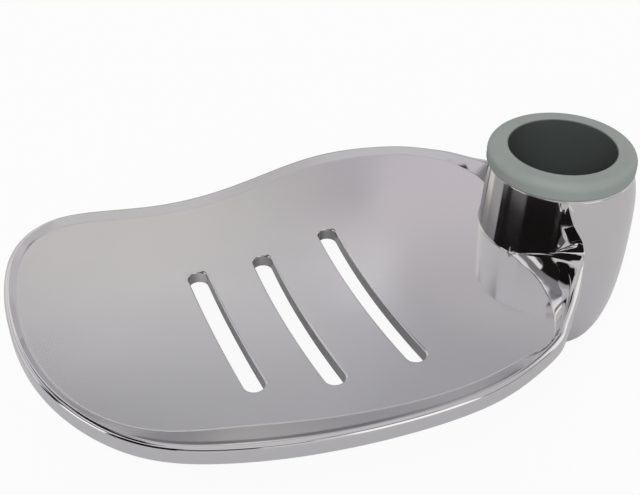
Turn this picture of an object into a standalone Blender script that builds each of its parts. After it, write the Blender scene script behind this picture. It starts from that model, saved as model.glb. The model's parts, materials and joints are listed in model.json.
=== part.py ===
"""Shower rail soap dish: a chromed dish moulding on a grey bush that grips a riser rail.

The rail's axis is Z, the origin is the middle of the bush's top face, and the dish
reaches towards -X. Metres, +Z up.
"""
import math

import bmesh
import bpy
import numpy as np

# The rail, and the bush that grips it
RAIL_DIAMETER = 0.025
SLEEVE_WALL = 0.0025
SLEEVE_LENGTH = 0.038
FLANGE_THICKNESS = 0.0044
FLANGE_OVERLAP = 0.0022
FLANGE_ROUND = 0.0007
BORE_LEAD = 0.0004
BEAD_HEIGHT = 0.0005
BEAD_WIDTH = 0.0020
BEAD_DROP = 0.019

# Clearances
FIT_GAP = 0.0003
RAIL_CLEARANCE = 0.0006
OVERRUN = 0.002

# The collar of the dish, a bulb round the bush
COLLAR_WALL = 0.0017
COLLAR_HEIGHT = 0.0437
COLLAR_EDGE = 0.0003

# The dish
DISH_REACH = 0.1278
DISH_BACK = 0.0495
DISH_FRONT = 0.0456
FLOOR_DROP = 0.0167
PLATE_THICKNESS = 0.0030
LIP_HEIGHT = 0.0012
LIP_WIDTH = 0.0070
RIM_ROUND = 0.0009
RIM_TUCK = 0.0004
SWEEP_DEPTH = 0.016
SWEEP_ROUND = 0.0024

# The drain slots, from the far end to the collar
SLOT_WIDTH = 0.0044
SLOT_EDGE = 0.0004
SLOT_PLACES = (0.0858, 0.0702, 0.0522)
SLOT_BACKS = (0.0123, 0.0125, 0.0164)
SLOT_FRONTS = (0.0247, 0.0291, 0.0295)
SLOT_BOWS = (0.0004, 0.0009, 0.0012)

# Sizes and heights that follow from those
RAIL_RADIUS = RAIL_DIAMETER / 2
SLEEVE_RADIUS = RAIL_RADIUS + SLEEVE_WALL
FLANGE_RADIUS = SLEEVE_RADIUS + FLANGE_OVERLAP
SEAT_RADIUS = SLEEVE_RADIUS + FIT_GAP
COLLAR_RADIUS = SEAT_RADIUS + COLLAR_WALL
HOLE_RADIUS = RAIL_RADIUS + RAIL_CLEARANCE
CORE_RADIUS = RAIL_RADIUS / 2
SLEEVE_END_Z = -FLANGE_THICKNESS - SLEEVE_LENGTH
SEAT_Z = -FLANGE_THICKNESS - FIT_GAP
COLLAR_END_Z = SEAT_Z - COLLAR_HEIGHT
BEAD_Z = -FLANGE_THICKNESS - BEAD_DROP
FLOOR_Z = SEAT_Z - FLOOR_DROP
UNDER_Z = FLOOR_Z - PLATE_THICKNESS

# The collar's side: how far down it, and how far it swells past the collar's radius
FLARE_SHARES = ((0, 0), (0.084, 0.056), (0.178, 0.086), (0.314, 0.098), (0.523, 0.094), (0.648, 0.076),
                (0.774, 0.038), (0.868, -0.012), (0.945, -0.074), (1.000, -0.138))

# The rim from the back, round the far end, to the front: shares of the dish's reach, of its
# back or front width, and of the lip's width
RIM_SHARES = ((0.145, 0.912, 0.43), (0.293, 0.999, 0.46), (0.438, 0.944, 0.46), (0.563, 0.872, 0.46),
              (0.681, 0.871, 0.46), (0.789, 0.934, 0.43), (0.877, 0.946, 0.40), (0.944, 0.831, 0.37),
              (0.985, 0.600, 0.37), (1.002, 0.242, 0.36), (0.988, -0.127, 0.36), (0.940, -0.468, 0.43),
              (0.859, -0.733, 0.69), (0.750, -0.885, 0.94), (0.626, -0.976, 0.90), (0.471, -1.025, 0.74),
              (0.336, -1.010, 0.66), (0.247, -0.940, 0.50))

# The two ends of the rim, which sweep up the collar's side. Each row holds the angle of the
# crest, the shares that it stands out and has climbed, the same three for the foot of its
# inner side, the share of a plain edge below it and the share of its roundness. A foot that
# stands out by nothing lies on the collar.
BACK_SWEEP_SHARES = (
    (68.0, 0.000, 1.000, 68.0, 0.000, 1.000, 0.0, 0.15),
    (70.8, 0.034, 0.734, 69.5, 0.000, 0.730, 0.0, 0.25),
    (70.1, 0.050, 0.537, 74.0, 0.000, 0.480, 0.0, 0.30),
    (71.5, 0.090, 0.367, 84.0, 0.000, 0.250, 0.0, 0.40),
    (75.5, 0.170, 0.237, 96.0, 0.000, 0.080, 0.1, 0.55),
    (81.1, 0.265, 0.153, 109.0, 0.000, 0.000, 0.4, 0.70),
    (88.0, 0.395, 0.105, 104.8, 0.205, 0.000, 0.8, 0.80),
    (95.0, 0.545, 0.080, 104.0, 0.400, 0.000, 1.0, 0.75),
    (101.0, 0.745, 0.072, 105.6, 0.620, 0.000, 1.0, 0.60),
    (106.6, 0.912, 0.072, 109.4, 0.810, 0.000, 1.0, 0.45))
FRONT_SWEEP_SHARES = (
    (240.0, 0.958, 0.072, 237.2, 0.912, 0.000, 1.0, 0.55),
    (242.3, 0.800, 0.076, 238.2, 0.766, 0.000, 1.0, 0.70),
    (245.8, 0.585, 0.090, 237.8, 0.584, 0.000, 1.0, 0.78),
    (249.3, 0.415, 0.124, 234.6, 0.371, 0.000, 0.8, 0.82),
    (251.9, 0.280, 0.170, 224.1, 0.133, 0.000, 0.4, 0.70),
    (253.8, 0.178, 0.226, 203.6, 0.000, 0.000, 0.1, 0.55),
    (255.3, 0.108, 0.300, 222.0, 0.000, 0.015, 0.0, 0.42),
    (255.6, 0.078, 0.365, 238.0, 0.000, 0.215, 0.0, 0.34),
    (255.0, 0.058, 0.430, 249.5, 0.000, 0.335, 0.0, 0.30),
    (252.6, 0.048, 0.540, 251.4, 0.000, 0.520, 0.0, 0.26),
    (247.6, 0.036, 0.718, 246.9, 0.000, 0.712, 0.0, 0.20),
    (242.0, 0.000, 1.000, 242.0, 0.000, 1.000, 0.0, 0.15))
MEET_ROWS = 5, 6  # the rows of the two tables, counted from their ends, where the floor runs out

# Where the lines of the loft start on the collar's top and end at its bottom, in degrees:
# at the back end of the sweep, where the floor runs out at the back and front, at the front end
TOP_ANGLES = (68.0, 99.0, 212.0, 242.0)
END_ANGLES = (60.0, 92.0, 246.0, 280.0)

# How the loft is divided
SKIN_SHARES = (0.05, 0.10, 0.15, 0.21, 0.29, 0.37, 0.46, 0.56, 0.66, 0.76, 0.86, 0.94, 1.00)
TAIL_SHARES = (0.20, 0.40, 0.60, 0.78, 0.90, 1.00)
UNDER_SHARES = (0.10, 0.45, 0.80, 1.00)
FLOOR_SHARES = (0.92, 1.00)
SLOPE_SHARES = (0.35, 0.70)
WALL_SHARES = (1 / 3, 2 / 3)
CREST_ANGLES = (-20.0, 15.0, 52.0, 90.0)
TUCK_ANGLES = (0.0, 45.0, 90.0)
CREST_SHARE = 0.6
DISH_STEPS = 84
COLLAR_STEPS = 24
ROUND_STEPS = 64
CORNER_STEPS = 4
SLOT_STEPS = 8


def clear_scene():
    for thing in list(bpy.data.objects):
        bpy.data.objects.remove(thing, do_unlink=True)


def material(name, colour, roughness, metallic):
    finish = bpy.data.materials.new(name)
    finish.use_nodes = True
    shader = finish.node_tree.nodes["Principled BSDF"]
    shader.inputs["Base Color"].default_value = (*colour, 1.0)
    shader.inputs["Roughness"].default_value = roughness
    shader.inputs["Metallic"].default_value = metallic
    finish.diffuse_color = (*colour, 1.0)
    return finish


def spline(knots, values, places):
    """A natural cubic curve through values at knots, read at places."""
    knots, places = np.asarray(knots, float), np.asarray(places, float)
    table = np.asarray(values, float).reshape(len(knots), -1)
    gap = np.diff(knots)[:, None]
    slope = np.diff(table, axis=0) / gap
    grid = np.eye(len(knots))
    right = np.zeros_like(table)
    for i in range(1, len(knots) - 1):
        grid[i, i - 1:i + 2] = gap[i - 1, 0], 2 * (gap[i - 1, 0] + gap[i, 0]), gap[i, 0]
        right[i] = 6 * (slope[i] - slope[i - 1])
    bend = np.linalg.solve(grid, right)
    i = np.clip(np.searchsorted(knots, places, side="right") - 1, 0, len(gap) - 1)
    wide, ahead, past = gap[i], (knots[i + 1] - places)[:, None], (places - knots[i])[:, None]
    curve = (bend[i] * ahead ** 3 + bend[i + 1] * past ** 3) / (6 * wide)
    curve += (table[i] / wide - bend[i] * wide / 6) * ahead
    return curve + (table[i + 1] / wide - bend[i + 1] * wide / 6) * past


def smooth(share):
    share = np.clip(share, 0, 1)
    return share * share * (3 - 2 * share)


def mix(first, second, share):
    return first + (second - first) * share


def polar(radius, degrees, height):
    radius, angle, height = np.broadcast_arrays(radius, np.radians(degrees), height)
    return np.stack([radius * np.cos(angle), radius * np.sin(angle), height], axis=-1)


def collar_side(height, degrees):
    """Points of the collar's swollen side at a height and an angle."""
    flare = np.array(FLARE_SHARES)
    down = np.clip((SEAT_Z - height) / COLLAR_HEIGHT, 0, 1)
    swell = spline(flare[:, 0], flare[:, 1], down)[:, 0]
    return polar(COLLAR_RADIUS * (1 + swell), degrees, height)


def sweep_points(rows):
    """Crest and foot points and edge shares along one of the sweeps, as rows of eight."""
    table = np.array(rows)
    reach = DISH_FRONT - COLLAR_RADIUS
    crest = polar(COLLAR_RADIUS + table[:, 1] * reach, table[:, 0], FLOOR_Z + table[:, 2] * FLOOR_DROP)
    foot = polar(COLLAR_RADIUS + table[:, 4] * reach, table[:, 3], FLOOR_Z + table[:, 5] * FLOOR_DROP)
    return np.concatenate([crest, foot, table[:, 6:]], axis=1)


def rim_points():
    """The same along the rim, where the foot is a lip's width inside the crest."""
    shares = np.array(RIM_SHARES)
    width = np.where(shares[:, 1] > 0, DISH_BACK, DISH_FRONT)
    crest = np.stack([-DISH_REACH * shares[:, 0], width * shares[:, 1]], axis=-1)
    along = np.gradient(crest, axis=0)
    along /= np.linalg.norm(along, axis=1)[:, None]
    foot = crest + LIP_WIDTH * shares[:, 2:] * np.stack([-along[:, 1], along[:, 0]], axis=-1)
    level = np.full((len(crest), 1), FLOOR_Z)
    edge = np.tile([1, RIM_ROUND / SWEEP_ROUND], (len(crest), 1))
    return np.concatenate([crest, level + LIP_HEIGHT, foot, level, edge], axis=1)


def guide_lines():
    """The lines that the dish is lofted on, sampled once round the rail."""
    back, rim, front = sweep_points(BACK_SWEEP_SHARES), rim_points(), sweep_points(FRONT_SWEEP_SHARES)
    points = np.concatenate([back, rim, front])
    step = np.diff(points, axis=0)
    step = np.linalg.norm(step[:, :3], axis=1) + np.linalg.norm(step[:, 3:6], axis=1)
    knots = np.concatenate([[0], np.cumsum(np.sqrt(step))])
    places = np.linspace(0, knots[-1], DISH_STEPS + 1)
    lines = spline(knots, points, places)
    crest, foot = lines[:, :3], lines[:, 3:6]
    plain, soft = np.clip(lines[:, 6], 0, 1), np.clip(lines[:, 7], 0, 1)

    meets = knots[MEET_ROWS[0]], knots[-1 - MEET_ROWS[1]]
    marks = (0, *meets, knots[-1])
    top = np.interp(places, marks, TOP_ANGLES)
    end = spline(marks, END_ANGLES, places)[:, 0]
    foot_angle = np.degrees(np.arctan2(foot[:, 1], foot[:, 0])) % 360
    crest_angle = np.degrees(np.arctan2(crest[:, 1], crest[:, 0])) % 360
    meet_angles = BACK_SWEEP_SHARES[MEET_ROWS[0]][3], FRONT_SWEEP_SHARES[-1 - MEET_ROWS[1]][3]
    between = (places > meets[0]) & (places < meets[1])
    neck_angle = np.where(between, np.interp(places, meets, meet_angles), foot_angle)
    foot[:, 2] = np.clip(foot[:, 2], FLOOR_Z, SEAT_Z)
    neck_height = np.where(between, FLOOR_Z, foot[:, 2])
    on_collar = polar(COLLAR_RADIUS, foot_angle, foot[:, 2])
    foot = np.where(between[:, None], foot, on_collar)

    lines = {"crest": crest, "foot": foot, "crest_angle": crest_angle, "top_angle": top,
             "neck_angle": neck_angle, "neck_height": neck_height, "end_angle": end,
             "plain": plain, "soft": soft}

    turn = np.linspace(0, 1, COLLAR_STEPS + 1)[1:-1]
    first, last = TOP_ANGLES[-1], TOP_ANGLES[0] + 360
    side_angle = mix(first, last, turn)
    side_end = mix(END_ANGLES[-1], END_ANGLES[0] + 360, turn)
    edge = polar(COLLAR_RADIUS, side_angle, SEAT_Z)
    side = {"crest": edge, "foot": edge, "crest_angle": side_angle, "top_angle": side_angle,
            "neck_angle": side_angle, "neck_height": edge[:, 2], "end_angle": side_end,
            "plain": np.zeros(len(turn)), "soft": np.zeros(len(turn))}
    return {name: np.concatenate([lines[name], side[name]]) for name in lines}


def dish_rings():
    """Closed rings round the rail, from the collar's top over the floor and rim to its bottom."""
    line = guide_lines()
    crest, foot, plain = line["crest"], line["foot"], line["plain"]
    top_z = SEAT_Z - COLLAR_EDGE
    crest[:, 2] = np.minimum(crest[:, 2], top_z)
    foot[:, 2] = np.minimum(foot[:, 2], top_z)
    neck_z = np.minimum(line["neck_height"], top_z)

    rings = [polar(CORE_RADIUS, line["top_angle"], SEAT_Z),
             polar(COLLAR_RADIUS - COLLAR_EDGE, line["top_angle"], SEAT_Z)]
    for share in (0, *WALL_SHARES, 1):
        angle = mix(line["top_angle"], line["neck_angle"], share)
        rings.append(polar(COLLAR_RADIUS, angle, mix(top_z, neck_z, share)))

    along = np.roll(crest, -1, axis=0) - np.roll(crest, 1, axis=0)
    inward = np.stack([-along[:, 1], along[:, 0], np.zeros(len(along))], axis=-1)
    inward /= np.linalg.norm(inward, axis=1)[:, None]
    reach = np.maximum(np.sum(inward * (foot - crest), axis=1), 0)
    up = np.array([0, 0, 1])
    soft = np.minimum(SWEEP_ROUND * line["soft"], reach * CREST_SHARE)[:, None]
    middle = crest + soft * (inward - up)
    arc = [middle + soft * (math.cos(a) * up - math.sin(a) * inward) for a in np.radians(CREST_ANGLES)]
    neck = rings[-1]
    rings += [mix(neck, foot, share) for share in FLOOR_SHARES]
    for share in SLOPE_SHARES:
        mound = mix(1 - (1 - share) ** 2, share, plain)
        point = mix(foot, arc[0], share)
        point[:, 2] = mix(foot[:, 2], arc[0][:, 2], mound)
        rings.append(point)
    rings += arc

    start = arc[-1]
    stand = (crest - collar_side(crest[:, 2], line["crest_angle"]))
    stand[:, 2] = 0
    swept_z = [mix(start[:, 2], COLLAR_END_Z, share) for share in SKIN_SHARES]
    depth = mix(SWEEP_DEPTH, SWEEP_DEPTH / 2, plain)
    plain_rim = []
    low = start.copy()
    low[:, 2] = UNDER_Z + RIM_TUCK
    for angle in np.radians(TUCK_ANGLES):
        plain_rim.append(low + RIM_TUCK * ((1 - math.cos(angle)) * inward - math.sin(angle) * up))
    under = collar_side(np.full(len(crest), UNDER_Z), line["end_angle"])
    plain_rim += [mix(plain_rim[-1], under, share) for share in UNDER_SHARES]
    for number, height in enumerate(swept_z):
        if number >= len(plain_rim):
            share = TAIL_SHARES[number - len(plain_rim)]
            height = mix(height, mix(UNDER_Z, COLLAR_END_Z, share), plain)
        down = (start[:, 2] - height) / (start[:, 2] - COLLAR_END_Z)
        angle = mix(line["end_angle"], line["crest_angle"], (1 - down) ** 4 * (1 - plain))
        swept = collar_side(height, angle)
        if number < len(plain_rim):
            swept = swept + stand * (1 - smooth((start[:, 2] - height) / depth))[:, None]
            swept = mix(swept, plain_rim[number], plain[:, None])
        rings.append(swept)
    rings.append(polar(CORE_RADIUS, line["end_angle"], COLLAR_END_Z))
    return rings


def loft(name, rings, around=False):
    """A closed mesh through closed rings: capped at both ends, or joined round into a tube."""
    form = bmesh.new()
    rows = [[form.verts.new(point) for point in ring] for ring in rings]
    pairs = list(zip(rows, rows[1:] + rows[:1] if around else rows[1:]))
    for upper, lower in pairs:
        for i in range(len(upper)):
            form.faces.new((upper[i - 1], lower[i - 1], lower[i], upper[i]))
    if not around:
        form.faces.new(rows[0])
        form.faces.new(rows[-1][::-1])
    bmesh.ops.remove_doubles(form, verts=form.verts, dist=COLLAR_EDGE / 100)
    bmesh.ops.recalc_face_normals(form, faces=form.faces)
    mesh = bpy.data.meshes.new(name)
    form.to_mesh(mesh)
    form.free()
    return mesh


def turned(name, profile, collection):
    """A closed or axis-to-axis profile of radius and height points, turned about Z."""
    mesh = bpy.data.meshes.new(name)
    edges = [(i, i + 1) for i in range(len(profile) - 1)]
    if profile[0][0] > 0:
        edges.append((len(profile) - 1, 0))
    mesh.from_pydata([(radius, 0, height) for radius, height in profile], edges, [])
    thing = bpy.data.objects.new(name, mesh)
    collection.objects.link(thing)
    screw = thing.modifiers.new("turn", "SCREW")
    screw.steps = screw.render_steps = ROUND_STEPS
    screw.use_merge_vertices = True
    screw.merge_threshold = COLLAR_EDGE / 100
    screw.use_smooth_shade = True
    return thing


def corner(radius, height, size):
    """A quarter round from a level edge over to an upright one."""
    turns = [math.pi / 2 * i / CORNER_STEPS for i in range(CORNER_STEPS + 1)]
    return [(radius - size + size * math.sin(a), height - size + size * math.cos(a)) for a in turns]


def bead(radius, height, width):
    """The points of a bead or a groove on a turned side, going down."""
    half, out = BEAD_WIDTH / 2 + width, radius + BEAD_HEIGHT
    upper = [(radius, height + half), (out, height + half / 2)]
    return upper + [(out, height - half / 2), (radius, height - half)]


def make_bush(collection, finish):
    """The grey bush: a flange that sits on the collar, and a sleeve down inside it."""
    side = corner(FLANGE_RADIUS, 0, FLANGE_ROUND)
    side += [(FLANGE_RADIUS, -FLANGE_THICKNESS), (SLEEVE_RADIUS, -FLANGE_THICKNESS)]
    side += bead(SLEEVE_RADIUS, BEAD_Z, 0)
    side += [(SLEEVE_RADIUS, SLEEVE_END_Z + BORE_LEAD), (SLEEVE_RADIUS - BORE_LEAD, SLEEVE_END_Z)]
    side += [(RAIL_RADIUS + BORE_LEAD, SLEEVE_END_Z), (RAIL_RADIUS, SLEEVE_END_Z + BORE_LEAD)]
    side += [(RAIL_RADIUS, -BORE_LEAD), (RAIL_RADIUS + BORE_LEAD, 0)]
    bush = turned("rail_bush", side, collection)
    bush.data.materials.append(finish)
    return bush


def bore_cutter(collection):
    """Everything inside the collar: the bush's seat, the bead's groove and the rail's hole."""
    ledge = SLEEVE_END_Z - FIT_GAP
    side = [(0, SEAT_Z + OVERRUN), (SEAT_RADIUS + BORE_LEAD, SEAT_Z + OVERRUN)]
    side += [(SEAT_RADIUS + BORE_LEAD, SEAT_Z), (SEAT_RADIUS, SEAT_Z - BORE_LEAD)]
    side += bead(SEAT_RADIUS, BEAD_Z, FIT_GAP)
    side += [(SEAT_RADIUS, ledge), (HOLE_RADIUS, ledge)]
    side += [(HOLE_RADIUS, COLLAR_END_Z - OVERRUN), (0, COLLAR_END_Z - OVERRUN)]
    return turned("bore_cutter", side, collection)


def slot_ring(place, back, front, bow, half, height):
    """A long round-ended outline about a slot's slightly bowed middle line."""
    share = np.linspace(0, 1, SLOT_STEPS + 1)
    middle = np.stack([-place - bow * 4 * share * (1 - share), mix(back, -front, share)], axis=-1)
    along = np.gradient(middle, axis=0)
    along /= np.linalg.norm(along, axis=1)[:, None]
    side = np.stack([-along[:, 1], along[:, 0]], axis=-1)
    points = list(middle + half * side)
    for turn in np.linspace(0, math.pi, SLOT_STEPS + 1)[1:-1]:
        points.append(middle[-1] + half * (math.cos(turn) * side[-1] + math.sin(turn) * along[-1]))
    points += list((middle - half * side)[::-1])
    for turn in np.linspace(0, math.pi, SLOT_STEPS + 1)[1:-1]:
        points.append(middle[0] - half * (math.cos(turn) * side[0] + math.sin(turn) * along[0]))
    return [(x, y, height) for x, y in points]


def slot_cutter(number, collection):
    """One drain slot, straight through the plate and eased at its top edge."""
    shape = SLOT_PLACES[number], SLOT_BACKS[number], SLOT_FRONTS[number], SLOT_BOWS[number]
    half = SLOT_WIDTH / 2
    levels = ((half + SLOT_EDGE + OVERRUN, FLOOR_Z + OVERRUN), (half + SLOT_EDGE, FLOOR_Z),
              (half, FLOOR_Z - SLOT_EDGE), (half, UNDER_Z - OVERRUN))
    mesh = loft(f"slot_cutter_{number + 1}", [slot_ring(*shape, *level) for level in levels])
    cutter = bpy.data.objects.new(mesh.name, mesh)
    collection.objects.link(cutter)
    return cutter


def cut(thing, cutter):
    cutter.hide_render = True
    cutter.display_type = "WIRE"
    boolean = thing.modifiers.new(cutter.name, "BOOLEAN")
    boolean.operation = "DIFFERENCE"
    boolean.solver = "EXACT"
    boolean.object = cutter


def make_dish(collection, cutters, finish):
    """The chromed moulding: plate, rim and collar in one."""
    mesh = loft("dish_body", dish_rings(), around=True)
    mesh.shade_smooth()
    mesh.set_sharp_from_angle(angle=math.radians(35))
    mesh.materials.append(finish)
    dish = bpy.data.objects.new("dish_body", mesh)
    collection.objects.link(dish)
    cut(dish, bore_cutter(cutters))
    for number in range(len(SLOT_PLACES)):
        cut(dish, slot_cutter(number, cutters))
    return dish


def main():
    clear_scene()
    parts = bpy.data.collections.new("shower_rail_soap_dish")
    cutters = bpy.data.collections.new("cutters")
    for collection in (parts, cutters):
        bpy.context.scene.collection.children.link(collection)
    chrome = material("bright_chrome", (0.62, 0.61, 0.63), 0.06, 1.0)
    grey = material("grey_bush_plastic", (0.27, 0.30, 0.29), 0.42, 0.0)

    swivel = bpy.data.objects.new("swivel_axis", None)
    parts.objects.link(swivel)
    dish = make_dish(parts, cutters, chrome)
    dish.parent = swivel
    make_bush(parts, grey)


main()
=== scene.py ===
"""The looks of a shower rail soap dish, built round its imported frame. Metres, +Z up."""
import json
import math

import bmesh
import bpy
import numpy as np
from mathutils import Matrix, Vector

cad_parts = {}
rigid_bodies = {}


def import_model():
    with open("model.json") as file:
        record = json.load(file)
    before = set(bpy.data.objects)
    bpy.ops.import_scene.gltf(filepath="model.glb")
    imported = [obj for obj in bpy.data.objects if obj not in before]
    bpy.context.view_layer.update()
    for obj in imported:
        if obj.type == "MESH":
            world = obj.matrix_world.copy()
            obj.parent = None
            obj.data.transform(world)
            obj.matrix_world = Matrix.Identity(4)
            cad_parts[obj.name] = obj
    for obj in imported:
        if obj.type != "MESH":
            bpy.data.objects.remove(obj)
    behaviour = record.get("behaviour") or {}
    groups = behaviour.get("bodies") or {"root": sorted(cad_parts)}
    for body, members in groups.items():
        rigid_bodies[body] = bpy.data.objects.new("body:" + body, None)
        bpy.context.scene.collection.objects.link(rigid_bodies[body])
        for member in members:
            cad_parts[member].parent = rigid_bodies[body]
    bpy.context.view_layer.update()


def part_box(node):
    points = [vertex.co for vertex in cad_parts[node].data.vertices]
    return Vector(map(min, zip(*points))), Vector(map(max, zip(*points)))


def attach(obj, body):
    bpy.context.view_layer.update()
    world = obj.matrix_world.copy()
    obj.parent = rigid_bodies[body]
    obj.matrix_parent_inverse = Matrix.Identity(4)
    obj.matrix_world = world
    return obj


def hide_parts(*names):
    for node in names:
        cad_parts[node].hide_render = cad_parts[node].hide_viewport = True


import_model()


# The camera stands in front of the dish's far end and looks down on it, as the photograph does.
# Its place and turn were solved from the bush's two circles and the plate's outline.
CAMERA_PLACE = (-0.1306, -0.1639, 0.1203)
CAMERA_DOWN, CAMERA_TURN = 36.547, -23.0
CAMERA_LENS, CAMERA_SENSOR = 56.86, 36.0

lens = bpy.data.cameras.new("photo_camera")
lens.lens, lens.sensor_width = CAMERA_LENS, CAMERA_SENSOR
lens.clip_start, lens.clip_end = 0.01, 20.0
camera = bpy.data.objects.new("photo_camera", lens)
camera.location = CAMERA_PLACE
camera.rotation_euler = (math.radians(90 - CAMERA_DOWN), 0, math.radians(CAMERA_TURN))
bpy.context.scene.collection.objects.link(camera)
bpy.context.scene.camera = camera


# The dish is one plated plastic moulding: a flat tray with a low raised rim, and a swollen collar
# that the rim's two ends sweep up. It is lofted in closed rings round the rail, from the collar's
# top over the floor, the rim and the underside to its bottom, and back up inside the collar.
DISH_LOW, DISH_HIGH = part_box("dish_body")
BUSH_LOW, BUSH_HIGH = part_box("rail_bush")
SEAT_Z, COLLAR_END_Z = DISH_HIGH.z, DISH_LOW.z
FLOOR_DROP, PLATE_THICKNESS, BUSH_CLEARANCE = 0.0167, 0.0030, 0.0003
FLOOR_Z = SEAT_Z - FLOOR_DROP
UNDER_Z = FLOOR_Z - PLATE_THICKNESS
LEDGE_Z = BUSH_LOW.z - BUSH_CLEARANCE
COLLAR_RADIUS, SEAT_RADIUS, HOLE_RADIUS = 0.0170, 0.0153, 0.0131
COLLAR_EDGE, HOLE_EDGE = 0.00015, 0.0005
DISH_REACH, DISH_BACK, DISH_FRONT = 0.1278, 0.0495, 0.0456
LIP_HEIGHT, LIP_WIDTH = 0.0012, 0.0070
RIM_ROUND, RIM_TUCK = 0.0010, 0.0004
SWEEP_DEPTH, SWEEP_ROUND = 0.016, 0.0024
NECK_FILLET, FOOT_FILLET, VALLEY_FILLET = 0.0006, 0.0007, 0.0040

# The floor counts as open once it is this wide between the wall's foot and the rim's
FLOOR_OPEN = 0.008

# The wall on the tray's side widens downwards by the draft, and its top stands in from the
# collar's radius, which fades out over some degrees towards the sweeps
WALL_DRAFT, WALL_INSET, WALL_INSET_OVER = 0.058, 0.00054, 25.0

# The collar's side: how far down it, and how far it swells past the collar's radius
FLARE_SHARES = ((0, 0), (0.084, 0.056), (0.178, 0.086), (0.314, 0.098), (0.523, 0.094),
                (0.648, 0.076), (0.774, 0.038), (0.868, -0.012), (0.945, -0.074), (1.000, -0.138))

# The rim from the back, round the far end, to the front: shares of the dish's reach, of its
# back or front width, and of the lip's width
RIM_SHARES = (
    (0.145, 0.912, 0.43), (0.293, 0.999, 0.46), (0.438, 0.944, 0.46), (0.563, 0.872, 0.46),
    (0.681, 0.871, 0.46), (0.789, 0.934, 0.43), (0.877, 0.946, 0.40), (0.944, 0.831, 0.37),
    (0.985, 0.600, 0.37), (1.002, 0.242, 0.36), (0.988, -0.127, 0.36), (0.940, -0.468, 0.43),
    (0.859, -0.733, 0.69), (0.750, -0.885, 0.94), (0.626, -0.976, 0.90), (0.471, -1.025, 0.74),
    (0.336, -1.010, 0.66), (0.247, -0.940, 0.50))

# The rim's ends, sweeping up the collar. Each row holds the angle of the crest, the shares that
# it stands out and has climbed, the same three for the foot of its inner side, the share of a
# plain edge below it and the share of its roundness. A foot that stands out by nothing lies on
# the collar.
BACK_SWEEP_SHARES = (
    (68.0, 0.000, 1.000, 68.0, 0.000, 1.000, 0.0, 0.15),
    (70.8, 0.034, 0.734, 69.5, 0.000, 0.730, 0.0, 0.25),
    (70.1, 0.050, 0.537, 74.0, 0.000, 0.480, 0.0, 0.30),
    (71.5, 0.090, 0.367, 84.0, 0.000, 0.250, 0.0, 0.40),
    (75.5, 0.170, 0.237, 96.0, 0.000, 0.080, 0.1, 0.55),
    (81.1, 0.265, 0.153, 109.0, 0.000, 0.000, 0.4, 0.70),
    (88.0, 0.395, 0.105, 104.8, 0.205, 0.000, 0.8, 0.80),
    (95.0, 0.545, 0.080, 104.0, 0.400, 0.000, 1.0, 0.75),
    (101.0, 0.745, 0.072, 105.6, 0.620, 0.000, 1.0, 0.60),
    (106.6, 0.912, 0.072, 109.4, 0.810, 0.000, 1.0, 0.45))
FRONT_SWEEP_SHARES = (
    (240.0, 0.958, 0.072, 237.2, 0.912, 0.000, 1.0, 0.55),
    (242.3, 0.800, 0.076, 238.2, 0.766, 0.000, 1.0, 0.70),
    (245.8, 0.585, 0.090, 237.8, 0.584, 0.000, 1.0, 0.78),
    (249.3, 0.420, 0.124, 234.6, 0.371, 0.000, 0.8, 0.82),
    (252.2, 0.295, 0.170, 224.1, 0.133, 0.000, 0.4, 0.70),
    (254.6, 0.200, 0.226, 203.6, 0.000, 0.000, 0.1, 0.55),
    (256.4, 0.133, 0.300, 222.0, 0.000, 0.015, 0.0, 0.42),
    (256.6, 0.100, 0.365, 238.0, 0.000, 0.215, 0.0, 0.36),
    (255.8, 0.076, 0.430, 248.5, 0.000, 0.330, 0.0, 0.34),
    (253.2, 0.058, 0.540, 245.0, 0.000, 0.500, 0.0, 0.30),
    (247.6, 0.040, 0.718, 239.5, 0.000, 0.740, 0.0, 0.20),
    (242.0, 0.000, 1.000, 242.0, 0.000, 1.000, 0.0, 0.15))

# How many rows from its upper end each sweep's foot leaves the collar for the floor, and the angles
# of the loft's columns at those rows and at the upper ends, round the collar's top and lower end
MEET_ROWS = 5, 6
TOP_ANGLES = (68.0, 99.0, 212.0, 242.0)
END_ANGLES = (60.0, 92.0, 246.0, 280.0)

# How finely the loft is divided: columns round the rail, and rings over each stretch
DISH_STEPS, COLLAR_STEPS = 420, 84
EDGE_RINGS, WALL_STEPS, WALL_RINGS, FILLET_RINGS, SLOPE_RINGS = 4, 16, 8, 7, 10
CREST_RINGS, SKIN_RINGS, SEAT_RINGS = 12, 52, 3

# A ring this share down the wall keeps the bend at its top edge narrow
WALL_EDGE_SHARE = 0.006

# The crest's round: the angle that it starts at, its most as a share of the room, and how much its
# inward side leans to the rail
CREST_START, CREST_SHARE, CREST_LEAN = -10.0, 0.6, 0.01

# The skin's rings as shares of its height, the steps at which the rim's tuck and the underside
# end, how the underside and the collar's tail are spaced, and how soon the columns turn to the
# angles of the lower end
SKIN_SHARES = (0, 0.05, 0.10, 0.15, 0.21, 0.29, 0.37, 0.46, 0.56, 0.66, 0.76, 0.86, 0.94, 1.00)
TUCK_STEP, UNDER_STEP = 3, 7
UNDER_SHARES = (0, 0.10, 0.45, 0.80, 1.00)
TAIL_SHARES = (0, 0.20, 0.40, 0.60, 0.78, 0.90, 1.00)
SKIN_TURN_POWER = 4

# Lengths that keep sums from dividing by nothing, the distance at which points are welded, and for
# the shading the sharpest bend that stays smooth and the weight of a face's area
TINY, LEAST_WINDOW, LEAST_FLOOR, WELD = 1e-9, 1e-7, 1e-6, 2e-6
DISH_SHARP, AREA_WEIGHT = 28.0, 80


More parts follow.
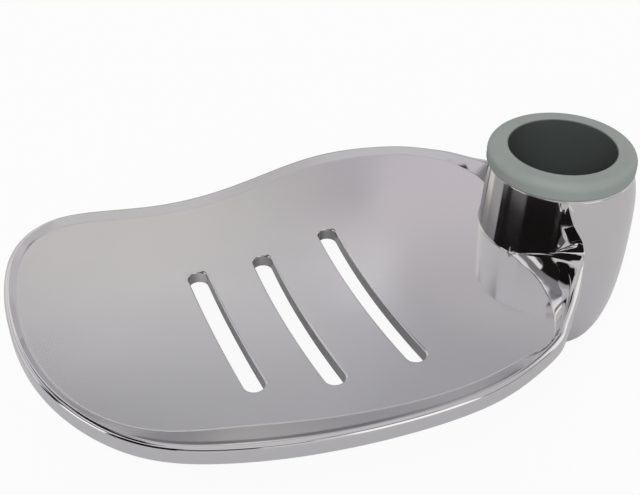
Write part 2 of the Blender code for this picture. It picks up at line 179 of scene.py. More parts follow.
def spline(knots, values, places):
    """A natural cubic curve through values at knots, read at places."""
    knots, places = np.asarray(knots, float), np.asarray(places, float)
    table = np.asarray(values, float).reshape(len(knots), -1)
    gap = np.diff(knots)[:, None]
    slope = np.diff(table, axis=0) / gap
    grid = np.eye(len(knots))
    right = np.zeros_like(table)
    for i in range(1, len(knots) - 1):
        grid[i, i - 1:i + 2] = gap[i - 1, 0], 2 * (gap[i - 1, 0] + gap[i, 0]), gap[i, 0]
        right[i] = 6 * (slope[i] - slope[i - 1])
    bend = np.linalg.solve(grid, right)
    i = np.clip(np.searchsorted(knots, places, side="right") - 1, 0, len(gap) - 1)
    wide, ahead, past = gap[i], (knots[i + 1] - places)[:, None], (places - knots[i])[:, None]
    curve = (bend[i] * ahead ** 3 + bend[i + 1] * past ** 3) / (6 * wide)
    curve += (table[i] / wide - bend[i] * wide / 6) * ahead
    return curve + (table[i + 1] / wide - bend[i + 1] * wide / 6) * past


def smooth(share):
    """A share held between nothing and one, and eased at both ends."""
    share = np.clip(share, 0, 1)
    return share * share * (3 - 2 * share)


def mix(first, second, share):
    """What lies a share of the way from the first to the second."""
    return first + (second - first) * share


def polar(radius, degrees, height):
    """Points at a distance from the rail's axis, an angle round it and a height."""
    radius, angle, height = np.broadcast_arrays(radius, np.radians(degrees), height)
    return np.stack([radius * np.cos(angle), radius * np.sin(angle), height], axis=-1)


def collar_side(height, degrees):
    """Points of the collar's swollen side at a height and an angle."""
    flare = np.array(FLARE_SHARES)
    down = np.clip((SEAT_Z - height) / (SEAT_Z - COLLAR_END_Z), 0, 1)
    swell = spline(flare[:, 0], flare[:, 1], down)[:, 0]
    return polar(COLLAR_RADIUS * (1 + swell), degrees, height)


def on_wall(degrees, height):
    """Points of the collar's wall on the tray's side, inset at its top and wider downwards."""
    past, ahead = np.subtract(degrees, TOP_ANGLES[0]), np.subtract(TOP_ANGLES[-1], degrees)
    inset = WALL_INSET * smooth(past / WALL_INSET_OVER) * smooth(ahead / WALL_INSET_OVER)
    return polar(COLLAR_RADIUS - inset + WALL_DRAFT * (SEAT_Z - height), degrees, height)


def angle_of(points):
    """The angle of each point round the rail, from 0 to 360 degrees."""
    return np.degrees(np.arctan2(points[:, 1], points[:, 0])) % 360


def sweep_points(rows):
    """Crest and foot points and edge shares along one of the sweeps, as rows of eight."""
    table = np.array(rows)
    reach, drop = DISH_FRONT - COLLAR_RADIUS, SEAT_Z - FLOOR_Z
    crest = polar(COLLAR_RADIUS + table[:, 1] * reach, table[:, 0], FLOOR_Z + table[:, 2] * drop)
    foot = on_wall(table[:, 3], FLOOR_Z + table[:, 5] * drop)
    foot += polar(table[:, 4] * reach, table[:, 3], 0)
    return np.concatenate([crest, foot, table[:, 6:]], axis=1)


def rim_points():
    """The same along the rim, where the foot is a lip's width inside the crest."""
    shares = np.array(RIM_SHARES)
    width = np.where(shares[:, 1] > 0, DISH_BACK, DISH_FRONT)
    crest = np.stack([-DISH_REACH * shares[:, 0], width * shares[:, 1]], axis=-1)
    along = np.gradient(crest, axis=0)
    along /= np.linalg.norm(along, axis=1)[:, None]
    foot = crest + LIP_WIDTH * shares[:, 2:] * np.stack([-along[:, 1], along[:, 0]], axis=-1)
    level = np.full((len(crest), 1), FLOOR_Z)
    edge = np.tile([1, RIM_ROUND / SWEEP_ROUND], (len(crest), 1))
    return np.concatenate([crest, level + LIP_HEIGHT, foot, level, edge], axis=1)


def stretch_to(points, least):
    """How much each point must move away from the rail to be no nearer to it than another."""
    here, there = (np.linalg.norm(place[:, :2], axis=1) for place in (points, least))
    return (np.maximum(here, there) / here)[:, None]


def guide_lines():
    """The lines that the dish is lofted on, sampled once round the rail."""
    back, rim, front = sweep_points(BACK_SWEEP_SHARES), rim_points(), sweep_points(FRONT_SWEEP_SHARES)
    points = np.concatenate([back, rim, front])

    # Knots set the root of their distance apart keep the curve from swinging between uneven rows
    step = np.diff(points, axis=0)
    step = np.linalg.norm(step[:, :3], axis=1) + np.linalg.norm(step[:, 3:6], axis=1)
    knots = np.concatenate([[0], np.cumsum(np.sqrt(step))])
    places = np.linspace(0, knots[-1], DISH_STEPS + 1)
    lines = spline(knots, points, places)
    crest, foot = lines[:, :3], lines[:, 3:6]
    crest_angle = angle_of(crest)
    crest[:, :2] *= stretch_to(crest, collar_side(crest[:, 2], crest_angle))
    foot[:, :2] *= stretch_to(foot, on_wall(angle_of(foot), foot[:, 2]))
    plain, soft = np.clip(lines[:, 6], 0, 1), np.clip(lines[:, 7], 0, 1)

    meets = knots[MEET_ROWS[0]], knots[-1 - MEET_ROWS[1]]
    marks = (0, *meets, knots[-1])
    top = np.interp(places, marks, TOP_ANGLES)
    end = spline(marks, END_ANGLES, places)[:, 0]
    foot_angle = angle_of(foot)
    meet_angles = BACK_SWEEP_SHARES[MEET_ROWS[0]][3], FRONT_SWEEP_SHARES[-1 - MEET_ROWS[1]][3]
    apart = (places > meets[0]) & (places < meets[1])
    neck_angle = np.where(apart, np.interp(places, meets, meet_angles), foot_angle)
    foot[:, 2] = np.clip(foot[:, 2], FLOOR_Z, SEAT_Z)
    neck_height = np.where(apart, FLOOR_Z, foot[:, 2])
    on_collar = on_wall(foot_angle, foot[:, 2])
    foot = np.where(apart[:, None], foot, on_collar)
    lines = {"crest": crest, "foot": foot, "crest_angle": crest_angle, "top_angle": top,
             "neck_angle": neck_angle, "neck_height": neck_height, "end_angle": end,
             "plain": plain, "soft": soft}

    # Past the sweeps the collar has no rim, and its crest and foot are its own top edge
    turn = np.linspace(0, 1, COLLAR_STEPS + 1)[1:-1]
    side_angle = mix(TOP_ANGLES[-1], TOP_ANGLES[0] + 360, turn)
    side_end = mix(END_ANGLES[-1], END_ANGLES[0] + 360, turn)
    edge = polar(COLLAR_RADIUS, side_angle, SEAT_Z)
    side = {"crest": edge, "foot": edge, "crest_angle": side_angle, "top_angle": side_angle,
            "neck_angle": side_angle, "neck_height": edge[:, 2], "end_angle": side_end,
            "plain": np.zeros(len(turn)), "soft": np.zeros(len(turn))}
    return {name: np.concatenate([lines[name], side[name]]) for name in lines}


def running_means(points, places, windows):
    """Points read along broken lines after each is averaged over a window, which rounds corners."""
    step = np.linalg.norm(np.diff(points, axis=0), axis=2)
    step = np.maximum(step, TINY)
    reach = np.concatenate([np.zeros((1, step.shape[1])), np.cumsum(step, axis=0)])
    slope = np.diff(points, axis=0) / step[..., None]
    areas = (points[:-1] + points[1:]) / 2 * step[..., None]
    total = np.concatenate([np.zeros((1, *areas.shape[1:])), np.cumsum(areas, axis=0)])
    column = np.arange(step.shape[1])

    def integral(at):
        """The points summed along each broken line, from its start to a place."""
        i = np.clip(np.sum(reach[None] <= at[:, None, :], axis=1) - 1, 0, len(step) - 1)
        past = (at - reach[i, column])[..., None]
        return total[i, column] + points[i, column] * past + slope[i, column] * past ** 2 / 2

    windows = np.maximum(windows, LEAST_WINDOW)
    return (integral(places + windows) - integral(places - windows)) / (2 * windows)[..., None]


def inner_rings(line, arc_start, top_z):
    """Rings from the collar's top down its wall, over the floor and up the rim's inner slope."""
    neck_height = np.minimum(line["neck_height"], top_z)
    points = [on_wall(mix(line["top_angle"], line["neck_angle"], share), mix(top_z, neck_height, share))
              for share in np.linspace(0, 1, WALL_STEPS + 1)]
    foot = line["foot"]
    points.append(foot)
    for share in np.linspace(0, 1, SLOPE_RINGS + 1)[1:]:
        mound = mix(1 - (1 - share) ** 2, share, line["plain"])
        point = mix(foot, arc_start, share)
        point[:, 2] = mix(foot[:, 2], arc_start[:, 2], mound)
        point[:, :2] *= stretch_to(point, on_wall(angle_of(point), point[:, 2]))
        points.append(point)
    points = np.stack(points)
    step = np.maximum(np.linalg.norm(np.diff(points, axis=0), axis=2), TINY)
    reach = np.concatenate([np.zeros((1, step.shape[1])), np.cumsum(step, axis=0)])
    wall, neck_to_foot = reach[WALL_STEPS], step[WALL_STEPS]
    at_foot = wall + neck_to_foot
    rise = reach[-1] - at_foot

    # Where the floor runs out, the fillets at its two ends grow into one
    open_floor = smooth(neck_to_foot / FLOOR_OPEN)
    foot_size = mix(VALLEY_FILLET, FOOT_FILLET, open_floor)
    neck_size = mix(VALLEY_FILLET, NECK_FILLET, open_floor)
    neck_up = np.minimum(neck_size, wall / 2)
    neck_out = np.minimum(neck_size, neck_to_foot / 2)
    foot_in = np.minimum(foot_size, neck_to_foot / 2)
    foot_out = np.minimum(foot_size, rise / 2)
    shares = np.linspace(0, 1, FILLET_RINGS + 1)
    wall_shares = [0, WALL_EDGE_SHARE, *np.linspace(0, 1, WALL_RINGS + 1)[1:]]
    places = [(wall - neck_up) * share for share in wall_shares]
    places += [mix(wall - neck_up, wall, s) for s in shares[1:]]
    places += [wall + neck_out * s for s in shares[1:]]
    places += [mix(at_foot - foot_in, at_foot, s) for s in shares]
    places += [at_foot + foot_out * s for s in shares[1:]]
    places += [mix(at_foot + foot_out, reach[-1], s) for s in np.linspace(0, 1, SLOPE_RINGS + 1)[1:]]
    places = np.stack(places)
    room = np.minimum(places, reach[-1] - places)
    past_neck = smooth((places - wall) / np.maximum(neck_to_foot, LEAST_FLOOR))
    window = np.minimum(mix(neck_size, foot_size, past_neck) / 2, np.maximum(room, 0))
    return list(running_means(points, places, window))


def dish_rings():
    """Closed rings round the rail, down the outside of the dish and back up inside its collar."""
    line = guide_lines()
    crest, plain = line["crest"], line["plain"]
    top_z = SEAT_Z - COLLAR_EDGE
    crest[:, 2] = np.minimum(crest[:, 2], top_z)
    line["foot"][:, 2] = np.minimum(line["foot"][:, 2], top_z)
    edge = np.radians(np.linspace(0, 90, EDGE_RINGS + 1))
    top_radius = np.linalg.norm(on_wall(line["top_angle"], SEAT_Z)[:, :2], axis=1)
    rings = [polar(top_radius - COLLAR_EDGE * (1 - math.sin(a)), line["top_angle"],
                   SEAT_Z - COLLAR_EDGE * (1 - math.cos(a))) for a in edge[:-1]]

    # Inward is square to the rim along the tray, and towards the foot where the rim climbs
    along = np.roll(crest, -1, axis=0) - np.roll(crest, 1, axis=0)
    square = np.stack([-along[:, 1], along[:, 0], np.zeros(len(along))], axis=-1)
    square /= np.linalg.norm(square, axis=1)[:, None]
    toward = (line["foot"] - crest - crest * CREST_LEAN) * (1, 1, 0)
    toward /= np.linalg.norm(toward, axis=1)[:, None]
    inward = mix(toward, square, plain[:, None])
    inward /= np.linalg.norm(inward, axis=1)[:, None]
    reach = np.maximum(np.sum(inward * (line["foot"] - crest), axis=1), 0)
    up = np.array([0, 0, 1])
    steep = along[:, 2] / np.maximum(np.linalg.norm(along, axis=1), TINY)
    soft = np.minimum(SWEEP_ROUND * line["soft"] * (1 - steep ** 2), reach * CREST_SHARE)[:, None]
    middle = crest + soft * (inward - up)
    turns = np.radians(np.linspace(CREST_START, 90, CREST_RINGS))
    arc = [middle + soft * (math.cos(a) * up - math.sin(a) * inward) for a in turns]
    rings += inner_rings(line, arc[0], top_z)
    rings += arc[1:]

    # Where the edge is plain, the skin drops, tucks under and runs in to the collar along the
    # underside. Where the rim climbs, what it stands out fades into the collar's side
    start = arc[-1]
    stand = crest - collar_side(crest[:, 2], line["crest_angle"])
    stand[:, 2] = 0
    depth = mix(SWEEP_DEPTH, SWEEP_DEPTH / 2, plain)
    low = start.copy()
    low[:, 2] = UNDER_Z + RIM_TUCK
    under = collar_side(np.full(len(crest), UNDER_Z), line["end_angle"])
    under_start = low + RIM_TUCK * (inward - up)
    for step in np.linspace(0, len(SKIN_SHARES) - 1, SKIN_RINGS + 1)[1:]:
        fall = spline(range(len(SKIN_SHARES)), SKIN_SHARES, [step])[0, 0]
        height = mix(start[:, 2], COLLAR_END_Z, fall)
        if step <= 1:
            edge_point = mix(start, low, step)
        elif step <= TUCK_STEP:
            angle = math.pi / 2 * (step - 1) / (TUCK_STEP - 1)
            edge_point = low + RIM_TUCK * ((1 - math.cos(angle)) * inward - math.sin(angle) * up)
        elif step <= UNDER_STEP:
            share = np.interp(step - TUCK_STEP, range(len(UNDER_SHARES)), UNDER_SHARES)
            edge_point = mix(under_start, under, share)
        else:
            share = np.interp(step - UNDER_STEP, range(len(TAIL_SHARES)), TAIL_SHARES)
            height = mix(height, mix(UNDER_Z, COLLAR_END_Z, share), plain)
        down = (start[:, 2] - height) / (start[:, 2] - COLLAR_END_Z)
        turned = (1 - down) ** SKIN_TURN_POWER * (1 - plain)
        angle = mix(line["end_angle"], line["crest_angle"], turned)
        swept = collar_side(height, angle)
        hold = (1 - smooth((start[:, 2] - height) / depth)) * (1 if step <= UNDER_STEP else 1 - plain)
        swept = swept + stand * hold[:, None]
        if step <= UNDER_STEP:
            swept = mix(swept, edge_point, plain[:, None])
        rings.append(swept)

    end = line["end_angle"]
    end_radius = np.linalg.norm(rings[-1][:, :2], axis=1).mean()
    rings.append(polar((end_radius + HOLE_RADIUS + HOLE_EDGE) / 2, end, COLLAR_END_Z))
    rings += [polar(HOLE_RADIUS + HOLE_EDGE * (1 - math.sin(a)), end,
                    COLLAR_END_Z + HOLE_EDGE * (1 - math.cos(a))) for a in edge]
    rings += [polar(HOLE_RADIUS, end, LEDGE_Z), polar(SEAT_RADIUS, end, LEDGE_Z)]
    for share in np.linspace(0, 1, SEAT_RINGS + 1)[1:]:
        rings.append(polar(SEAT_RADIUS, mix(end, line["top_angle"], share), mix(LEDGE_Z, SEAT_Z, share)))
    return rings


def loft(name, rings, around=False):
    """A closed mesh through closed rings: capped at both ends, or joined round into a tube."""
    form = bmesh.new()
    rows = [[form.verts.new(point) for point in ring] for ring in rings]
    for upper, lower in zip(rows, rows[1:] + rows[:1] if around else rows[1:]):
        for i in range(len(upper)):
            form.faces.new((upper[i - 1], lower[i - 1], lower[i], upper[i]))
    if not around:
        form.faces.new(rows[0])
        form.faces.new(rows[-1][::-1])
    bmesh.ops.remove_doubles(form, verts=form.verts, dist=WELD)
    bmesh.ops.recalc_face_normals(form, faces=form.faces)
    mesh = bpy.data.meshes.new(name)
    form.to_mesh(mesh)
    form.free()
    return mesh


def add(mesh):
    """A new object in the scene, named for its mesh."""
    thing = bpy.data.objects.new(mesh.name, mesh)
    bpy.context.scene.collection.objects.link(thing)
    return thing


def settle(thing):
    """Bakes a piece's modifiers into a plain mesh."""
    graph = bpy.context.evaluated_depsgraph_get()
    mesh = bpy.data.meshes.new_from_object(thing.evaluated_get(graph), depsgraph=graph)
    thing.modifiers.clear()
    thing.data = mesh
    mesh.name = thing.name


dish = add(loft("dish_moulding", dish_rings(), around=True))


# Three bowed drain slots go through the tray, wider spaced towards the collar, each with an
# eased edge that catches the light.
SLOT_WIDTH, SLOT_EDGE, SLOT_OVERRUN = 0.0044, 0.0005, 0.002
SLOT_PLACES = (0.0858, 0.0702, 0.0522)
SLOT_BACKS = (0.0123, 0.0125, 0.0164)
SLOT_FRONTS = (0.0247, 0.0291, 0.0295)
SLOT_BOWS = (0.0004, 0.0009, 0.0012)
SLOT_STEPS, EASE_STEPS, EASE_START = 24, 6, 12.0


def slot_ring(place, back, front, bow, half, height):
    """A long round-ended outline about a slot's slightly bowed middle line."""
    share = np.linspace(0, 1, SLOT_STEPS + 1)
    middle = np.stack([-place - bow * 4 * share * (1 - share), mix(back, -front, share)], axis=-1)
    along = np.gradient(middle, axis=0)
    along /= np.linalg.norm(along, axis=1)[:, None]
    side = np.stack([-along[:, 1], along[:, 0]], axis=-1)
    points = list(middle + half * side)
    for turn in np.linspace(0, math.pi, SLOT_STEPS + 1)[1:-1]:
        points.append(middle[-1] + half * (math.cos(turn) * side[-1] + math.sin(turn) * along[-1]))
    points += list((middle - half * side)[::-1])
    for turn in np.linspace(0, math.pi, SLOT_STEPS + 1)[1:-1]:
        points.append(middle[0] - half * (math.cos(turn) * side[0] + math.sin(turn) * along[0]))
    return [(x, y, height) for x, y in points]


for number, shape in enumerate(zip(SLOT_PLACES, SLOT_BACKS, SLOT_FRONTS, SLOT_BOWS)):
    levels = [(SLOT_WIDTH / 2 + SLOT_EDGE + SLOT_OVERRUN, FLOOR_Z + SLOT_OVERRUN)]
    for ease in np.radians(np.linspace(EASE_START, 90, EASE_STEPS + 1)):
        half_width = SLOT_WIDTH / 2 + SLOT_EDGE * (1 - math.sin(ease))
        levels.append((half_width, FLOOR_Z - SLOT_EDGE * (1 - math.cos(ease))))
    levels.append((SLOT_WIDTH / 2, UNDER_Z - SLOT_OVERRUN))
    cutter = add(loft(f"slot_cutter_{number + 1}", [slot_ring(*shape, *level) for level in levels]))
    cut = dish.modifiers.new("slot", "BOOLEAN")
    cut.operation, cut.solver, cut.object = "DIFFERENCE", "EXACT", cutter
settle(dish)
for cutter in [thing for thing in bpy.data.objects if thing.name.startswith("slot_cutter")]:
    bpy.data.objects.remove(cutter)
dish.data.shade_smooth()
dish.data.set_sharp_from_angle(angle=math.radians(DISH_SHARP))
even = dish.modifiers.new("even", "WEIGHTED_NORMAL")
even.keep_sharp, even.weight, even.mode = True, AREA_WEIGHT, "FACE_AREA"
settle(dish)


# Bright chrome plate over the moulding: a clear mirror with the faint waviness of moulded
# plastic, a very fine haze, and a breath of warmth in broad patches. The tray's floor is satin,
# and less so near the collar, whose mirror image it holds.
CHROME = (0.66, 0.655, 0.665)
CHROME_WARM = (0.665, 0.658, 0.655)

# The values of their noises between which the warmth and the haze's roughness grow
WARM_FROM, WARM_TO = 0.45, 0.70
HAZE_FROM, HAZE_TO, HAZE_LEAST, HAZE_MOST = 0.30, 0.75, 0.02, 0.05

# The satin's roughness and its share near the rail, and where it grows from that to the whole
SATIN_ROUGHNESS, SATIN_NEAR_SHARE, SATIN_FROM, SATIN_OVER = 0.21, 0.25, 0.035, 0.030

# There is no satin where the surface is less upright than the first value, and all of it where it
# is more upright by the second. It lies from a hair below the floor's level to a share of the lip's
# height above it
SATIN_UPRIGHT, SATIN_UPRIGHT_OVER, SATIN_LIP_SHARE, LEVEL_SLACK = 0.75, 0.15, 0.8, 1e-5


class Value:
    """A shader socket on which sums are written as Python expressions."""

    def __init__(self, tree, socket):
        self.tree, self.socket = tree, socket

    def node(self, kind, *values, out=0, **settings):
        """Adds a node, sets it up, fills its sockets in order or by name, and returns an output."""
        made = self.tree.nodes.new(kind)
        named = settings.pop("sockets", {})
        for name, setting in settings.items():
            setattr(made, name, setting)
        for socket, value in [*enumerate(values), *named.items()]:
            if isinstance(value, Value):
                self.tree.links.new(value.socket, made.inputs[socket])
            elif value is not None:
                made.inputs[socket].default_value = value
        return Value(self.tree, made.outputs[out])

    def sum(self, operation, first, second=None):
        """A math node's result from one or two values."""
        return self.node("ShaderNodeMath", first, second, operation=operation)

    def __add__(self, other):
        return self.sum("ADD", self, other)

    def __sub__(self, other):
        return self.sum("SUBTRACT", self, other)

    def __mul__(self, other):
        return self.sum("MULTIPLY", self, other)

    def blend(self, first, second):
        """A colour between two, by this value."""
        # This node's two colours are its inputs 6 and 7, and the mixed one its output 2
        made = self.tree.nodes.new("ShaderNodeMix")
        made.data_type = "RGBA"
        self.tree.links.new(self.socket, made.inputs[0])
        for socket, value in ((made.inputs[6], first), (made.inputs[7], second)):
            if isinstance(value, Value):
                self.tree.links.new(value.socket, socket)
            else:
                socket.default_value = (*value, 1.0)
        return Value(self.tree, made.outputs[2])

    def spread(self, low, high, start=0.0, end=1.0):
        """The value carried from one range to another, and held at its ends."""
        return self.node("ShaderNodeMapRange", self, low, high, start, end)


def finish_of(name):
    """A new material with its shader, and its Object coordinates as a Value."""
    finish = bpy.data.materials.new(name)
    finish.use_nodes = True
    tree = finish.node_tree
    place = tree.nodes.new("ShaderNodeTexCoord")
    return finish, tree.nodes["Principled BSDF"], Value(tree, place.outputs["Object"])


def from_rail(place):
    """The distance of a place from the rail's axis."""
    level_place = place.node("ShaderNodeVectorMath", place, (1, 1, 0), operation="MULTIPLY")
    return place.node("ShaderNodeVectorMath", level_place, out="Value", operation="LENGTH")


# The satin's mask is kept on the mesh's own points
spots, normals = np.zeros((2, len(dish.data.vertices) * 3))
dish.data.vertices.foreach_get("co", spots)
dish.data.vertices.foreach_get("normal", normals)
level = spots.reshape(-1, 3)[:, 2] - FLOOR_Z
upright = smooth((normals.reshape(-1, 3)[:, 2] - SATIN_UPRIGHT) / SATIN_UPRIGHT_OVER)
on_floor = (level > -LEVEL_SLACK) & (level < LIP_HEIGHT * SATIN_LIP_SHARE)
mask = dish.data.attributes.new("satin", "FLOAT", "POINT")
mask.data.foreach_set("value", (upright * on_floor).astype(np.float32))

chrome, shader, place = finish_of("bright_chrome")
haze = place.node("ShaderNodeTexNoise", place, sockets={"Scale": 60.0, "Detail": 4.0})
drift = place.node("ShaderNodeTexNoise", place, sockets={"Scale": 14.0, "Detail": 1.0})
ripple = place.node("ShaderNodeTexNoise", place, sockets={"Scale": 90.0, "Detail": 0.0})
bump = place.node("ShaderNodeBump", sockets={"Strength": 0.02, "Distance": 0.0002, "Height": ripple})
satin = place.node("ShaderNodeAttribute", attribute_name="satin", out="Fac")
satin_near = SATIN_ROUGHNESS * SATIN_NEAR_SHARE
satin *= from_rail(place).spread(SATIN_FROM, SATIN_FROM + SATIN_OVER, satin_near, SATIN_ROUGHNESS)
rough = haze.spread(HAZE_FROM, HAZE_TO, HAZE_LEAST, HAZE_MOST) + satin
plate = drift.spread(WARM_FROM, WARM_TO).blend(CHROME, CHROME_WARM)
place.tree.links.new(plate.socket, shader.inputs["Base Color"])
place.tree.links.new(rough.socket, shader.inputs["Roughness"])
place.tree.links.new(bump.socket, shader.inputs["Normal"])
shader.inputs["Metallic"].default_value = 1.0

dish.data.materials.append(chrome)
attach(dish, "dish")
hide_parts("dish_body")


# The bush is a turned sleeve of grey-green, slightly soft plastic with a thick, well rounded
# flange, pushed into the collar. Its bore grips the rail. Geometry nodes turn it: a section with
# six corners, each rounded by its own size, is carried round a circle.
# The plastic's grey and its paler mottle, and a dark grey painted on the bore's wall as shade deep in the
# hole
GREY, GREY_PALE, BORE_PAINTED_SHADE = (0.235, 0.26, 0.245), (0.265, 0.29, 0.275), (0.055, 0.064, 0.061)

# The painted shade on the bore's wall ends, and the ring's pale starts, at these distances from the rail's
# axis
BORE_SHADE_TO, RING_PALE_FROM = 0.01254, 0.01275

# The values of the mottling noise between which the plastic turns pale, and rougher
PALE_FROM, PALE_TO = 0.35, 0.70
SMOOTH_FROM, ROUGH_FROM, LEAST_ROUGH, MOST_ROUGH = 0.30, 0.70, 0.40, 0.52

BUSH_SIZES = {"Bore Radius": 0.0125, "Sleeve Radius": 0.0150, "Flange Radius": BUSH_HIGH.x,
              "Flange Height": 0.00458, "Length": -BUSH_LOW.z, "Top Round": 0.0021,
              "Under Round": 0.0009, "Lead": 0.0005}
BUSH_STEPS, ROUND_STEPS, BUSH_SHARP = 192, 8, 40.0

grey, shader, place = finish_of("grey_bush_plastic")
mottle = place.node("ShaderNodeTexNoise", place, sockets={"Scale": 90.0, "Detail": 5.0})
grain = place.node("ShaderNodeTexNoise", place, sockets={"Scale": 2200.0, "Detail": 2.0})
bump = place.node("ShaderNodeBump", sockets={"Strength": 0.12, "Distance": 0.0001, "Height": grain})
tone_and_bore_shade = mottle.spread(PALE_FROM, PALE_TO).blend(GREY, GREY_PALE)
# The bore's wall is painted dark: this is painted shade, standing in for the shade deep in the hole
tone_and_bore_shade = from_rail(place).spread(BORE_SHADE_TO, RING_PALE_FROM).blend(BORE_PAINTED_SHADE, tone_and_bore_shade)
dull = mottle.spread(SMOOTH_FROM, ROUGH_FROM, LEAST_ROUGH, MOST_ROUGH)
place.tree.links.new(tone_and_bore_shade.socket, shader.inputs["Base Color"])
place.tree.links.new(dull.socket, shader.inputs["Roughness"])
place.tree.links.new(bump.socket, shader.inputs["Normal"])

turning = bpy.data.node_groups.new("bush_turning", "GeometryNodeTree")
turning.interface.new_socket("Geometry", in_out="OUTPUT", socket_type="NodeSocketGeometry")
for name in BUSH_SIZES:
    turning.interface.new_socket(name, in_out="INPUT", socket_type="NodeSocketFloat")
turning.interface.new_socket("Material", in_out="INPUT", socket_type="NodeSocketMaterial")
given = [Value(turning, socket) for socket in turning.nodes.new("NodeGroupInput").outputs]
bore, sleeve, flange, thick, length, top_round, under_round, lead, dress = given[:len(BUSH_SIZES) + 1]
which = bore.node("GeometryNodeInputIndex")


def pick(kind, values):
    """The value that belongs to each point, by its number."""
    switch = turning.nodes.new("GeometryNodeIndexSwitch")
    switch.data_type = kind
    for _ in values[2:]:
        switch.index_switch_items.new()
    for socket, value in zip(switch.inputs, [which, *values]):
        if isinstance(value, Value):
            turning.links.new(value.socket, socket)
        else:
            socket.default_value = value
    return Value(turning, switch.outputs[0])


corners = [(bore, length), (bore, 0.0), (flange, 0.0), (flange, thick), (sleeve, thick), (sleeve, length)]
corner_places = [bore.node("ShaderNodeCombineXYZ", radius - bore, down) for radius, down in corners]
corner_rounds = pick("FLOAT", [lead, lead, top_round, under_round, 0.0, lead])
section = bore.node("GeometryNodeMeshLine", len(corners))
section = bore.node("GeometryNodeSetPosition", section, None, pick("VECTOR", corner_places))
section = bore.node("GeometryNodeMeshToCurve", section)
section = bore.node("GeometryNodeSetSplineCyclic", section, None, True)
section = bore.node("GeometryNodeFilletCurve", section, ROUND_STEPS, corner_rounds, True, mode="POLY")
circle = bore.node("GeometryNodeCurvePrimitiveCircle", sockets={"Resolution": BUSH_STEPS, "Radius": bore})
turned = bore.node("GeometryNodeCurveToMesh", circle, sockets={"Profile Curve": section})
turned = bore.node("GeometryNodeSetShadeSmooth", turned)
turned = bore.node("GeometryNodeRealizeInstances", turned)
turned = bore.node("GeometryNodeSetMaterial", turned, None, dress)
turning.links.new(turned.socket, turning.nodes.new("NodeGroupOutput").inputs[0])

bush = add(bpy.data.meshes.new("bush_sleeve"))
lathe = bush.modifiers.new("turning", "NODES")
lathe.node_group = turning
for socket in turning.interface.items_tree:
    if socket.in_out == "INPUT":
        lathe[socket.identifier] = BUSH_SIZES.get(socket.name, grey)
settle(bush)
bush.data.set_sharp_from_angle(angle=math.radians(BUSH_SHARP))
even = bush.modifiers.new("even", "WEIGHTED_NORMAL")
even.keep_sharp = True
settle(bush)

# The chrome shows no image of the bush, which the tray would carry beside the collar's
bush.visible_glossy = False
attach(bush, "bush")
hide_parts("rail_bush")


# The studio: a plain pale floor under the collar, a soft lamp from the left front, and plain soft
# light all round. The chrome mirrors the floor, and above it a surround of pale and dark cards.
# The camera sees the floor nearly white, and only rays that the object mirrors meet the cards.
FLOOR_SIZE, FLOOR_GAP = 8.0, 0.0002
FLOOR_COLOUR, FLOOR_ROUGHNESS = (0.62, 0.61, 0.62), 0.9
FLOOR_SEEN_WHITE, FLOOR_MIRRORED_WHITE = 0.93, 0.02
SOFT_LIGHT, LAMP_POWER, LAMP_SPREAD = 0.60, 2.0, 38.0
LAMP_TURN = (48.0, 0.0, -38.0)

bpy.ops.mesh.primitive_plane_add(size=FLOOR_SIZE, location=(0, 0, COLLAR_END_Z - FLOOR_GAP))
floor = bpy.context.object
floor.name = "studio_floor"
paper = bpy.data.materials.new("pale_paper")
paper.use_nodes = True
tree = paper.node_tree
shader = tree.nodes["Principled BSDF"]
shader.inputs["Base Color"].default_value = (*FLOOR_COLOUR, 1.0)
shader.inputs["Roughness"].default_value = FLOOR_ROUGHNESS
rays = tree.nodes.new("ShaderNodeLightPath")
seen = Value(tree, rays.outputs["Is Camera Ray"]) * FLOOR_SEEN_WHITE
seen = seen + Value(tree, rays.outputs["Is Glossy Ray"]) * FLOOR_MIRRORED_WHITE
glow = seen.node("ShaderNodeEmission", (1, 1, 1, 1), 1.0)
mixed = seen.node("ShaderNodeMixShader", seen, Value(tree, shader.outputs[0]), glow)
tree.links.new(mixed.socket, tree.nodes["Material Output"].inputs["Surface"])
floor.data.materials.append(paper)

lamp = bpy.data.objects.new("soft_lamp", bpy.data.lights.new("soft_lamp", "SUN"))
lamp.data.energy, lamp.data.angle = LAMP_POWER, math.radians(LAMP_SPREAD)
lamp.rotation_euler = [math.radians(degrees) for degrees in LAMP_TURN]
lamp.visible_glossy = False
bpy.context.scene.collection.objects.link(lamp)

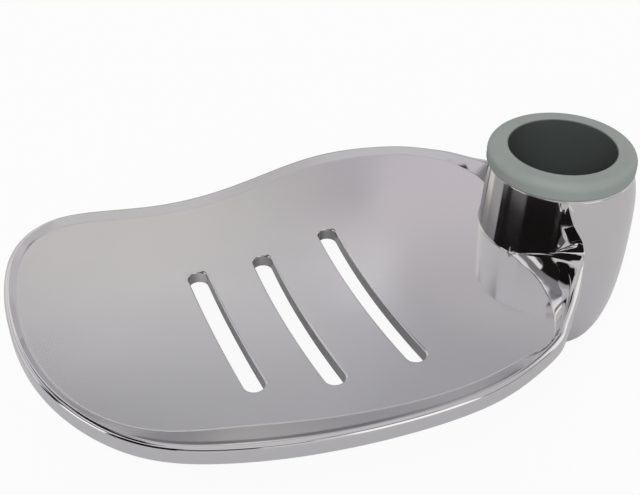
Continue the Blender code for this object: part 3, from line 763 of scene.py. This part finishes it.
# Cards of the surround, each laid over the ones before it: from and to azimuth, counted from +Y
# towards +X, from and to elevation, the softness of the edges, all in degrees, and the colour.
# To the camera the flat tray mirrors azimuths 0 to 40 and elevations 31 to 48, spread by its satin,
# and the rounded rim, sweeps and collar mirror the rest.
CARDS = (
    (-200, 200, 66, 100, 4, (0.74, 0.73, 0.74)),
    (-45, 70, 51, 66, 3, (0.73, 0.71, 0.73)),
    (-25, 70, 38, 51, 4, (0.33, 0.335, 0.35)),
    (-25, 12, 40, 51, 4, (0.26, 0.265, 0.275)),
    (-25, 20, 24, 36.5, 4, (1.44, 1.39, 1.25)),
    (20, 70, 24, 38, 4, (0.75, 0.70, 0.74)),
    (30, 70, 36, 42.5, 3, (0.62, 0.60, 0.63)),
    (2, 24, 9, 25, 3, (0.23, 0.23, 0.245)),
    (2, 60, -10, 9, 2, (0.57, 0.55, 0.57)),
    (84, 110, -10, 38, 3, (1.15, 1.14, 1.11)),
    (66, 84, -10, 24, 3, (1.15, 1.14, 1.11)),
    (58, 72, 40, 52, 2, (0.03, 0.03, 0.03)),
    (-62, -20, -10, 26, 2, (0.85, 0.84, 0.85)),
    (-72, -62, -10, 26, 1, (0.02, 0.02, 0.02)),
    (-98, -74, -10, 19, 1, (1.50, 1.50, 1.48)),
    (-200, -140, -10, 26, 2, (0.80, 0.79, 0.76)),
    (-165, -138, 6, 26, 1, (0.16, 0.155, 0.15)),
    (175, 200, -10, 38, 2, (0.85, 0.84, 0.80)),
    (146, 175, -10, 38, 2, (1.40, 1.38, 1.33)),
    (146, 178, 40, 52, 2, (0.22, 0.22, 0.22)),
    (-178, -100, 41.5, 51, 0.8, (0.94, 0.93, 0.97)),
    (-100, -60, 38.5, 49, 0.8, (0.94, 0.93, 0.97)),
    (-60, 28, 36.6, 42.5, 0.6, (0.96, 0.95, 0.98)),
    (-54, 26, 30.0, 34.2, 0.4, (0.35, 0.335, 0.36)),
    (-60, -30, 43.6, 48.0, 0.5, (0.24, 0.23, 0.25)),
    (-30, -15, 42.3, 48.0, 0.4, (0.27, 0.26, 0.28)),
    (-15, 2, 41.0, 48.0, 0.4, (0.27, 0.26, 0.28)),
    (-5.8, 1, 39.7, 41.8, 0.3, (0.20, 0.19, 0.21)),
    (-6.5, 0.5, 28, 34.2, 0.4, (0.29, 0.28, 0.30)),
    (-45, -27, 48.3, 51.5, 0.4, (1.00, 0.99, 0.98)),
    (-178, -52, 26, 34.5, 0.8, (0.012, 0.010, 0.010)),
    (-140, -99, -10, 41, 0.8, (0.012, 0.010, 0.010)),
    (-108, -34, 51.8, 70, 1.0, (0.012, 0.010, 0.010)),
    (-34, -4, 47.8, 60.5, 0.8, (0.012, 0.010, 0.010)),
    (110, 146, -10, 11, 2, (0.20, 0.20, 0.20)),
)
SURROUND = (0.66, 0.65, 0.66)

world = bpy.data.worlds.new("studio_surround")
bpy.context.scene.world = world
world.use_nodes = True
tree = world.node_tree
toward = Value(tree, tree.nodes.new("ShaderNodeTexCoord").outputs["Generated"])
x, y, z = [toward.node("ShaderNodeSeparateXYZ", toward, out=axis) for axis in "XYZ"]
azimuth = x.sum("DEGREES", x.sum("ARCTAN2", x, y))
elevation = x.sum("DEGREES", x.sum("ARCSINE", z))


def between(value, low, high, soft):
    """One between two values and nothing outside them, with soft edges."""
    rise = value.node("ShaderNodeMapRange", value, low - soft, low + soft, interpolation_type="SMOOTHSTEP")
    fall = value.node("ShaderNodeMapRange", value, high + soft, high - soft, interpolation_type="SMOOTHSTEP")
    return rise * fall


cards = azimuth.node("ShaderNodeCombineColor", *SURROUND)
for left, right, low, high, soft, colour in CARDS:
    share = between(azimuth, left, right, soft) * between(elevation, low, high, soft)
    cards = share.blend(cards, colour)
rays = tree.nodes.new("ShaderNodeLightPath")
light = Value(tree, rays.outputs["Is Glossy Ray"]).blend((SOFT_LIGHT,) * 3, cards)
light = Value(tree, rays.outputs["Is Camera Ray"]).blend(light, (1.0, 1.0, 1.0))
tree.links.new(light.socket, tree.nodes["Background"].inputs["Color"])

bpy.context.scene.view_settings.view_transform = "Standard"
